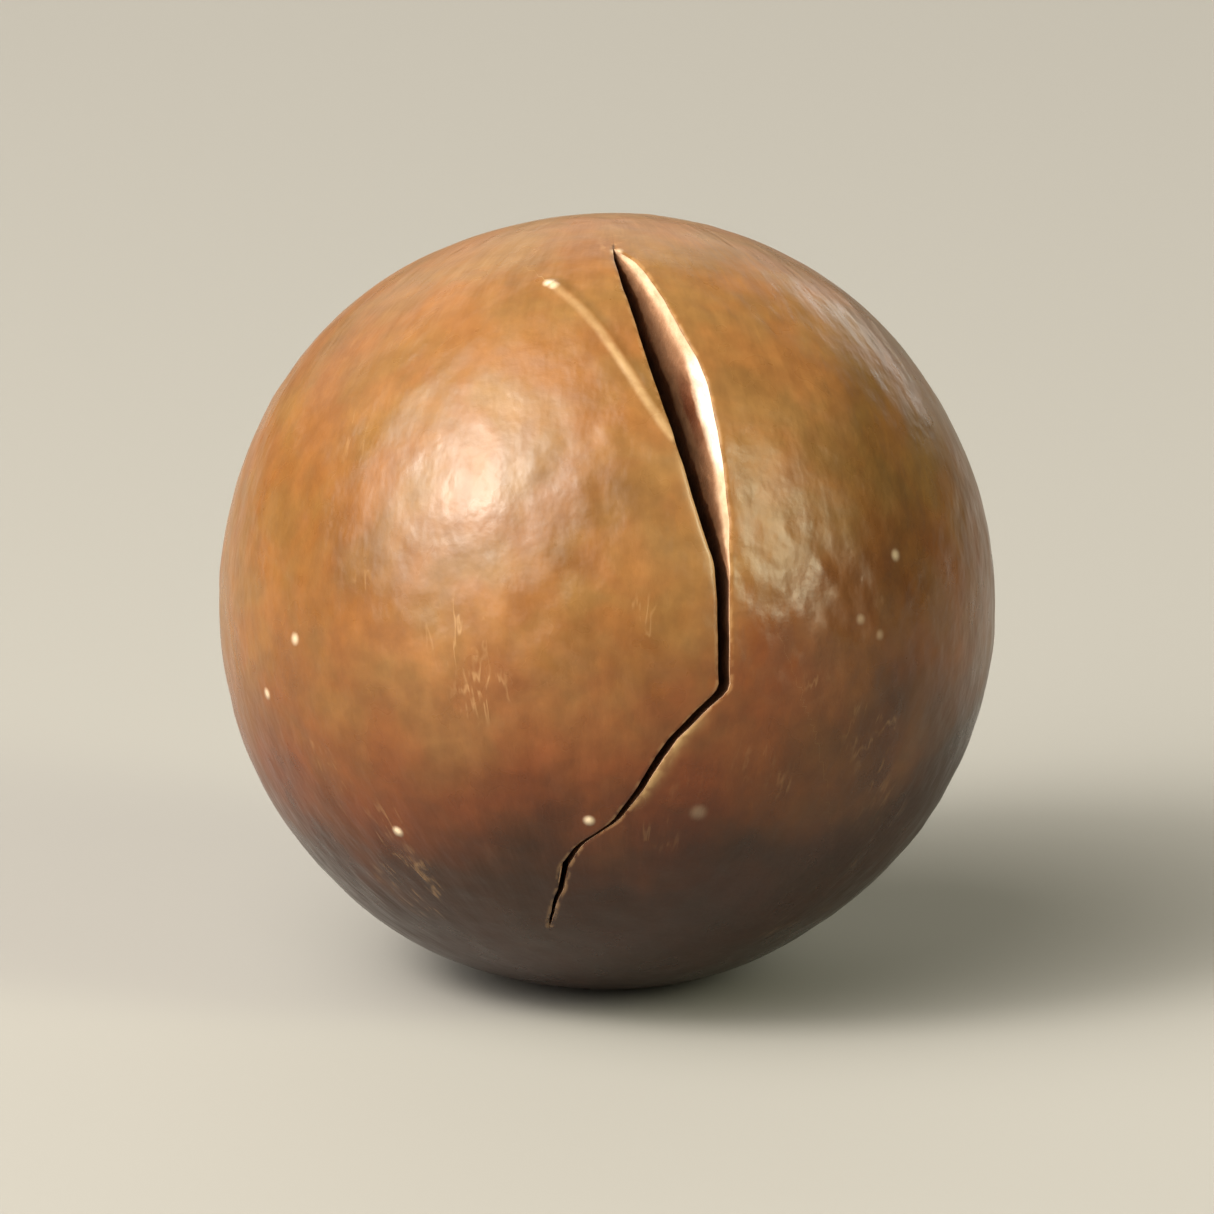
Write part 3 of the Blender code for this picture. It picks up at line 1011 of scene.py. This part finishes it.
def scar_and_pore(tree, colour, speckle):
    """Lays the scar, its dark rim, the pore's ring and the pore's pit, painted near black as shade, over
    the colour.
    """
    scar, pore = stored(tree, "from_scar_mm"), stored(tree, "from_pore_mm")
    flakes = times(tree, rise(tree, scar, *SCAR_FLAKES_MM), rise(tree, speckle, *SCAR_FLAKES_WORN),
                   SCAR_FLAKES_STRENGTH)
    colour = blend(tree, flakes, colour, FLAKE)
    colour = blend(tree, rise(tree, scar, *SCAR_RIM_MM), colour, UMBER_MARKS_AND_SHADE)
    face = times(tree, rise(tree, scar, *SCAR_FACE_MM), rise(tree, speckle, *SCAR_FACE_WORN))
    colour = blend(tree, face, colour, SCAR_COLOUR)
    ring = times(tree, rise(tree, pore, *PORE_RING_MM), rise(tree, pore, *PORE_RING_INSIDE_MM),
                 rise(tree, speckle, *PORE_RING_WORN))
    colour = blend(tree, ring, colour, PALE_NICK)
    return blend(tree, rise(tree, pore, *PORE_PIT_MM), colour, PORE_PIT_PAINTED_SHADE)


print("The scar's dark rim starts", SCAR_RIM_MM[0], "mm from its middle.")

# %% Seam and scratch
# Distances from the line where a colour starts and is full, and how the speckle wears it, as above.
SEAM_SIDES_MM, SEAM_LINE_MM = (0.60, 0.15), (0.10, 0.03)
SEAM_SIDES_WORN, SEAM_LINE_WORN = (0.52, 0.66), (0.30, 0.50)
SEAM_SIDES_STRENGTH, SEAM_LINE_STRENGTH = 0.35, 0.75
# Painted shade lies on the right of the scratch, over the groove beside its ridge, between these two pairs
# of distances.
SCRATCH_PAINTED_SHADE_MM, SCRATCH_PAINTED_SHADE_OUTSIDE_MM, SCRATCH_PAINTED_SHADE_STRENGTH = (0.12, 0.28), (0.60, 0.30), 0.6
SCRATCH_PAINTED_SHADE = (0.62, 0.66, 0.58)
SCRATCH_RIDGE_MM = (0.24, 0.02)
SCRATCH_WORN = (0.30, 0.62, 0.6, 0.95)
# Above the first height only the first share of the scratch is left, and it is full at the second.
SCRATCH_FAINTER = (23.4 * MM, 22.4 * MM, 0.6, 1.0)


def seam_line(tree, colour, speckle):
    """A thin darker line, broken here and there, with pale flaky sides."""
    off = compute(tree, "ABSOLUTE", stored(tree, "from_seam_mm"))
    sides = times(tree, rise(tree, off, *SEAM_SIDES_MM), rise(tree, speckle, *SEAM_SIDES_WORN),
                  SEAM_SIDES_STRENGTH)
    colour = blend(tree, sides, colour, FLAKE)
    line = times(tree, rise(tree, off, *SEAM_LINE_MM), rise(tree, speckle, *SEAM_LINE_WORN),
                 SEAM_LINE_STRENGTH)
    return blend(tree, line, colour, UMBER_MARKS_AND_SHADE)


def scratch_line(tree, colour, where, speckle):
    """A soft pale ridge, pale partly as a painted highlight, fainter in its upper stretch, with olive
    painted shade along its right side.
    """
    signed = stored(tree, "from_scratch_mm")
    # Painted shade on the right of the scratch, over its groove.
    painted_shade = times(tree, rise(tree, signed, *SCRATCH_PAINTED_SHADE_MM),
                  rise(tree, signed, *SCRATCH_PAINTED_SHADE_OUTSIDE_MM), SCRATCH_PAINTED_SHADE_STRENGTH)
    colour = tinted(tree, colour, painted_shade, PLAIN, SCRATCH_PAINTED_SHADE)
    height = add(tree, "ShaderNodeSeparateXYZ", {"Vector": where}).outputs["Z"]
    # The pale ridge is partly the scratch's own colour and partly a painted highlight along it.
    pale_ridge_and_highlight = times(tree, rise(tree, compute(tree, "ABSOLUTE", signed), *SCRATCH_RIDGE_MM),
                  rise(tree, height, *SCRATCH_FAINTER), rise(tree, speckle, *SCRATCH_WORN))
    return blend(tree, pale_ridge_and_highlight, colour, PALE_NICK)


print("The seam's line is", 2 * SEAM_LINE_MM[0], "mm wide.")

# %% Worn lips
CHIPPED = srgb(142, 112, 72)
WORN_LIP_STRENGTH = 0.7
CHIPS_WORN = (0.32, 0.58, 0.45, 0.9)
LIP_FLAKES_MM, LIP_FLAKES_WORN, LIP_FLAKES_STRENGTH = (0.16, 0.04), (0.40, 0.60), 0.30


def worn_lips(tree, colour, speckle):
    """The left lip is worn pale below the place where the scratch meets it, the right lip is chipped
    on the slanting stretch, and both are a little paler everywhere."""
    colour = blend(tree, times(tree, stored(tree, "worn_lip"), WORN_LIP_STRENGTH), colour, PALE_NICK)
    chips = times(tree, stored(tree, "chipped_lip"), rise(tree, speckle, *CHIPS_WORN))
    colour = blend(tree, chips, colour, CHIPPED)
    near = times(tree, rise(tree, stored(tree, "from_lip_mm"), *LIP_FLAKES_MM),
                 rise(tree, speckle, *LIP_FLAKES_WORN), LIP_FLAKES_STRENGTH)
    return blend(tree, near, colour, FLAKE)


print("The left lip is worn from", WORN_LIP_FROM, "to", WORN_LIP_TO, "mm above the middle, as seen.")

# %% Pale dots
PALE_DOT_COLOUR = srgb(236, 212, 176)
PALE_DOT_EDGE = 0.10
# Tiny raised pale dots on the front: across and up as seen, radius, and strength.
PALE_DOTS = (
    (-1.83, 10.10, 0.27, 1.0),
    (-1.68, 10.01, 0.25, 0.9),
    (0.32, 11.16, 0.28, 0.5),
    (-0.57, -7.06, 0.26, 1.0),
    (-6.68, -7.39, 0.26, 0.9),
    (-10.00, -1.23, 0.28, 0.6),
    (-10.90, -2.99, 0.26, 0.6),
    (9.28, 1.46, 0.28, 0.45),
    (8.12, -0.60, 0.24, 0.20),
    (8.70, -1.09, 0.24, 0.18),
    (2.92, -6.75, 0.40, 0.12),
)

print("Grains:", len(PALE_DOTS))

# %% [markdown]
# ## The broken wall
#
# Where the shell snapped it is cream, with a reddish stripe behind it at the widest place, then a
# pinkish tan, then almost black. The near black is painted shade: a very dark brown laid deep in the
# crack, where little light gets down as well. The zone number picks the colour. A cloud shifts it a
# little, so that the borders between the zones are as uneven as the break.

# %% Colours of the broken wall
CREAM = srgb(238, 227, 206)
PINK_CREAM = srgb(214, 182, 148)
CREAM_SHADE = srgb(184, 142, 110)
PINK_TAN = srgb(158, 117, 86)
RED_STRIPE = srgb(124, 72, 46)
# Painted shade deep in the crack: very dark browns.
DEEP_PAINTED_SHADE = srgb(92, 54, 30)
DEEPEST_PAINTED_SHADE = srgb(60, 34, 17)

# The cloud that shifts the zone number: size of its lumps, detail, and full range of the shift.
ZONE_SWAY = (0.60 * MM, 3.0, 0.30)
# The zone numbers where the pale part ends and what lies behind it has begun.
PALE_ENDS = (1.65, 2.10)
# Behind the pale part: each colour's share of the way from zone 2 to zone 4. The stripe starts and
# ends between two pairs of zone numbers.
INNER_COLOURS = ((0.00, CREAM_SHADE), (0.10, PINK_TAN), (0.44, PINK_TAN), (0.56, DEEP_PAINTED_SHADE), (1.00, DEEPEST_PAINTED_SHADE))
STRIPE_STARTS, STRIPE_ENDS = (1.98, 2.12), (2.70, 2.45)
CRUMB_SIZE, CRUMB_DETAIL, CRUMB_RANGE = 0.40 * MM, 3.0, (0.3, 0.7)
CRUMB_TINTS = (0.86, 0.82, 0.79), (1.05, 1.05, 1.05)


def wall_colour(tree, where):
    """Cream, stripe, pinkish tan and the painted shade deep in the crack, by the zone number, with a little
    noise at the borders.
    """
    zone = compute(tree, "ADD", stored(tree, "crack_zone"), shift(tree, where, *ZONE_SWAY))
    inner = shades(tree, rise(tree, zone, 2.0, 4.0, curve="LINEAR"), INNER_COLOURS)
    at_stripe = times(tree, rise(tree, zone, *STRIPE_STARTS), rise(tree, zone, *STRIPE_ENDS),
                      stored(tree, "stripe"))
    inner = blend(tree, at_stripe, inner, RED_STRIPE)
    pale = blend(tree, stored(tree, "whitest"), PINK_CREAM, CREAM)
    colour = blend(tree, rise(tree, zone, *PALE_ENDS), pale, inner)
    crumbs = rise(tree, cloud(tree, where, CRUMB_SIZE, CRUMB_DETAIL), *CRUMB_RANGE)
    return tinted(tree, colour, crumbs, *CRUMB_TINTS)


print("Stops of colour behind the pale part:", len(INNER_COLOURS))

# %% [markdown]
# ## Colour, gloss and bumps in one finish
#
# The whole nut is one mesh with one material, and every layer above finds its own place on it. The
# skin has a satin gloss. Its highlights are a little warm, and a tint on the mirrored light gives
# them that without yellower lamps, which would colour the floor too. The scar and the broken wall
# are dull and crumbly.
#
# The dents that the grid is too coarse for come from a bump map: a height for every point, built
# from several clouds, which tilts the surface for the light and leaves its shape alone.

# %% Values of the finish
SHELL_ROUGHNESS = (0.26, 0.36)
DULL_ROUGHNESS = 0.60
SPECULAR_LEVEL = 0.44
SPECULAR_TINT = (1.0, 0.95, 0.88, 1.0)
GLOSS_CLOUD, GLOSS_RANGE = (1.6 * MM, 3.0), (0.3, 0.7)
DULL_SCAR_MM = (2.8, 2.5)

# Clouds: size of the lumps, detail and, for some, roughness.
SPECKLE_CLOUD = (0.35 * MM, 2.0)
FIBRE_CLOUD, FIBRE_RANGE = (0.55 * MM, 3.0, 0.6), (0.30, 0.70)
FIBRE_TINTS = (0.95, 0.94, 0.93), (1.05, 1.06, 1.07)
DENT_CLOUD, DENTS_DRAWN_OUT = (0.60 * MM, 2.0, 0.55), 2.0
PEEL_CLOUD = (0.30 * MM, 2.0)
CRUMBLY_CLOUD = (0.22 * MM, 3.0, 0.6)
# Fibres and dents fade near the pore and near the far end: distances from the pore in millimetres.
FADE_AT_PORE_MM, FADE_AT_FAR_END_MM = (1.0, 7.5), (24.9, 23.2)
FLAKES_STRENGTH, PALE_DOTS_STRENGTH = 0.45, 0.95

DENT_HEIGHT, PEEL_HEIGHT, FIBRE_HEIGHT = 0.050 * MM, 0.010 * MM, 0.004 * MM
FLAKE_HEIGHT, PALE_DOT_HEIGHT, CRUMBLY_HEIGHT = 0.004 * MM, 0.05 * MM, 0.05 * MM
print("The roughness of the skin goes from", SHELL_ROUGHNESS[0], "to", SHELL_ROUGHNESS[1])

# %% The finish of the whole shell
def finish_patterns(tree, where):
    """The patterns that the colour and the bumps share, by name."""
    fibre_place = along_the_fibres(tree, where, FIBRE_DRAWN_OUT)
    pore = stored(tree, "from_pore_mm")
    on_wall = compute(tree, "GREATER_THAN", stored(tree, "crack_zone"), 0.5)
    on_scar = rise(tree, stored(tree, "from_scar_mm"), *DULL_SCAR_MM)
    past_pore, before_end = rise(tree, pore, *FADE_AT_PORE_MM), rise(tree, pore, *FADE_AT_FAR_END_MM)
    return {
        "fibres": cloud(tree, fibre_place, *FIBRE_CLOUD),
        "flakes": flaked(tree, where, fibre_place),
        "pale_dots": near_places(tree, where, PALE_DOTS, PALE_DOT_EDGE),
        "on_wall": on_wall,
        "dull": compute(tree, "MAXIMUM", on_wall, on_scar),
        "away_from_ends": times(tree, past_pore, before_end),
    }


def shell_colour(tree, where, patterns):
    """The skin with its streaks, stains, flakes, marks and pale dots, and the broken wall in the crack."""
    speckle = cloud(tree, where, *SPECKLE_CLOUD)
    streaks = rise(tree, patterns["fibres"], *FIBRE_RANGE)
    streaks = blend_value(tree, patterns["away_from_ends"], 0.5, streaks)
    colour = tinted(tree, skin_colour(tree, where), streaks, *FIBRE_TINTS)
    colour = stains(tree, colour, where)
    colour = blend(tree, times(tree, patterns["flakes"], FLAKES_STRENGTH), colour, FLAKE)
    colour = seam_line(tree, colour, speckle)
    colour = scar_and_pore(tree, colour, speckle)
    colour = scratch_line(tree, colour, where, speckle)
    colour = worn_lips(tree, colour, speckle)
    colour = blend(tree, times(tree, patterns["pale_dots"], PALE_DOTS_STRENGTH), colour, PALE_DOT_COLOUR)
    return blend(tree, patterns["on_wall"], colour, wall_colour(tree, where))


def shell_bumps(tree, where, patterns):
    """The height of the fine relief: each pattern times its own height, added up."""
    dents = cloud(tree, along_the_fibres(tree, where, DENTS_DRAWN_OUT), *DENT_CLOUD)
    ends = patterns["away_from_ends"]
    return stacked(tree,
                   (times(tree, dents, ends), DENT_HEIGHT),
                   (cloud(tree, where, *PEEL_CLOUD), PEEL_HEIGHT),
                   (times(tree, patterns["fibres"], ends), FIBRE_HEIGHT),
                   (patterns["flakes"], FLAKE_HEIGHT),
                   (patterns["pale_dots"], PALE_DOT_HEIGHT),
                   (times(tree, patterns["dull"], cloud(tree, where, *CRUMBLY_CLOUD)), CRUMBLY_HEIGHT))


def shell_finish():
    """The material of the nut: skin, marks and broken wall in one graph."""
    material = bpy.data.materials.new("polished_nut_shell")
    material.use_nodes = True
    tree = material.node_tree
    shader = tree.nodes["Principled BSDF"]
    where = add(tree, "ShaderNodeTexCoord", {}).outputs["Object"]
    patterns = finish_patterns(tree, where)
    feed(tree, shader.inputs["Base Color"], shell_colour(tree, where, patterns))

    roughness = rise(tree, cloud(tree, where, *GLOSS_CLOUD), *GLOSS_RANGE, *SHELL_ROUGHNESS)
    roughness = blend_value(tree, patterns["dull"], roughness, DULL_ROUGHNESS)
    feed(tree, shader.inputs["Roughness"], roughness)
    shader.inputs["Specular IOR Level"].default_value = SPECULAR_LEVEL
    shader.inputs["Specular Tint"].default_value = SPECULAR_TINT

    height = shell_bumps(tree, where, patterns)
    bump = add(tree, "ShaderNodeBump", {"Height": height, "Distance": 1.0, "Strength": 1.0})
    feed(tree, shader.inputs["Normal"], bump.outputs["Normal"])
    return material


mesh.materials.append(shell_finish())
print("Nodes in the finish:", len(mesh.materials[0].node_tree.nodes))

# %% [markdown]
# ## Floor, light and camera
#
# The nut stands on a plain pale floor. A round softbox high on the left gives the large warm
# highlight. It is built from discs of different sizes that lie in one another, so that the
# highlight gets weaker outwards and has no hard edge. A tall, slightly yellow light on the right
# gives the second highlight, and two larger and weaker ones behind it soften its edge. A broad
# panel behind the nut is mirrored by the skin where it turns away from the eye, which draws the
# pale rim along the top, and a small strip draws the brighter line on the upper right. The lights
# are strong and the floor is a warm mid grey, so that the floor looks pale but throws little light
# back up, and the nut stays dark below.

# %% Floor
FLOOR_SIZE = 8.0
FLOOR_COLOUR = (0.298, 0.275, 0.246, 1.0)
FLOOR_ROUGHNESS = 0.7


def floor_finish():
    """A plain matt table top."""
    material = bpy.data.materials.new("pale_floor")
    material.use_nodes = True
    shader = material.node_tree.nodes["Principled BSDF"]
    shader.inputs["Base Color"].default_value = FLOOR_COLOUR
    shader.inputs["Roughness"].default_value = FLOOR_ROUGHNESS
    return material


floor_mesh = bpy.data.meshes.new("floor")
half = FLOOR_SIZE / 2
floor_corners = [(-half, -half, 0), (half, -half, 0), (half, half, 0), (-half, half, 0)]
floor_mesh.from_pydata(floor_corners, [], [(0, 1, 2, 3)])
floor_mesh.materials.append(floor_finish())
floor = bpy.data.objects.new("floor", floor_mesh)
bpy.context.scene.collection.objects.link(floor)
print("Floor:", FLOOR_SIZE, "m square")

# %% Lights
AIM = np.array((0.0, 0.0, 12.0 * MM))


def soft_light(name, way, distance, size, radiance, colour, wide_along=None):
    """A soft light that looks at the nut. Its power follows from its radiance: power = radiance pi
    area. Its width runs level, or along the direction that is given."""
    way = np.array(way) / np.linalg.norm(way)
    wide = np.cross((0, 0, 1), way) if wide_along is None else np.array(wide_along)
    wide = wide - way * (way @ wide)
    wide /= np.linalg.norm(wide)
    data = bpy.data.lights.new(name, "AREA")
    data.shape = "ELLIPSE"
    data.size, data.size_y = size
    area = math.pi * size[0] * size[1] / 4
    data.energy = radiance * math.pi * area
    data.color = colour
    lamp = bpy.data.objects.new(name, data)
    lamp.location = AIM + way * distance
    lamp.rotation_euler = mathutils.Matrix((wide, np.cross(way, wide), way)).transposed().to_euler()
    lamp.visible_camera = False
    bpy.context.scene.collection.objects.link(lamp)
    return lamp


KEY_WAY = (-0.612, -0.400, 0.682)
SIDE_WAY = (0.748, -0.468, 0.470)
RIM_WAY, RIM_ALONG = (0.46, 0.85, 0.22), (0.218, -0.062, -0.230)
BACK_WAY = (-0.15, 1.0, 0.55)
WARM_WHITE, SIDE_WHITE, BACK_WHITE = (1.0, 0.99, 0.93), (0.95, 1.0, 0.74), (1.0, 0.95, 0.86)
# The discs of the main softbox, from the smallest to the largest: width in metres and radiance.
KEY_DISTANCE = 0.50
KEY_RINGS = ((0.16, 28.0), (0.31, 8.5), (0.49, 4.4), (0.74, 3.0), (0.92, 0.5))
# The other lights: name, direction, distance, width and height in metres, radiance and colour.
OTHER_LIGHTS = (
    ("side", SIDE_WAY, 0.50, (0.08, 0.20), 9.0, SIDE_WHITE),
    ("side_spread", SIDE_WAY, 0.51, (0.16, 0.32), 4.2, SIDE_WHITE),
    ("side_halo", SIDE_WAY, 0.52, (0.27, 0.50), 2.4, SIDE_WHITE),
    ("rim_strip", RIM_WAY, 0.50, (0.17, 0.10), 2.4, WARM_WHITE, RIM_ALONG),
    ("back_panel", BACK_WAY, 0.70, (1.3, 0.5), 0.8, BACK_WHITE),
)
for number, (width, radiance) in enumerate(KEY_RINGS):
    soft_light(f"key_ring_{number}", KEY_WAY, KEY_DISTANCE, (width, width), radiance, WARM_WHITE)
for light in OTHER_LIGHTS:
    soft_light(*light)

# A faint, even light from all round.
WORLD_COLOUR, WORLD_STRENGTH = (1.0, 0.95, 0.86, 1.0), 0.12
world = bpy.data.worlds.new("studio")
world.use_nodes = True
world.node_tree.nodes["Background"].inputs["Color"].default_value = WORLD_COLOUR
world.node_tree.nodes["Background"].inputs["Strength"].default_value = WORLD_STRENGTH
bpy.context.scene.world = world
bpy.context.scene.view_settings.view_transform = "Standard"

# %% Camera
CAMERA_DISTANCE = 1.5
FRAME_WIDTH = 39.0 * MM
SENSOR_WIDTH = 36.0

lens = bpy.data.cameras.new("camera")
lens.sensor_width = SENSOR_WIDTH
lens.lens = SENSOR_WIDTH * CAMERA_DISTANCE / FRAME_WIDTH
camera = bpy.data.objects.new("camera", lens)
camera.location = AIM + SEEN_TOWARDS * CAMERA_DISTANCE
camera.rotation_euler = (-mathutils.Vector(SEEN_TOWARDS)).to_track_quat("-Z", "Y").to_euler()
bpy.context.scene.collection.objects.link(camera)
bpy.context.scene.camera = camera
print("Lens:", round(lens.lens), "mm")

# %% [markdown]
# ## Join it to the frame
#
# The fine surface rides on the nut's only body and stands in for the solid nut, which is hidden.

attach(shell, "root")
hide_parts("nut")
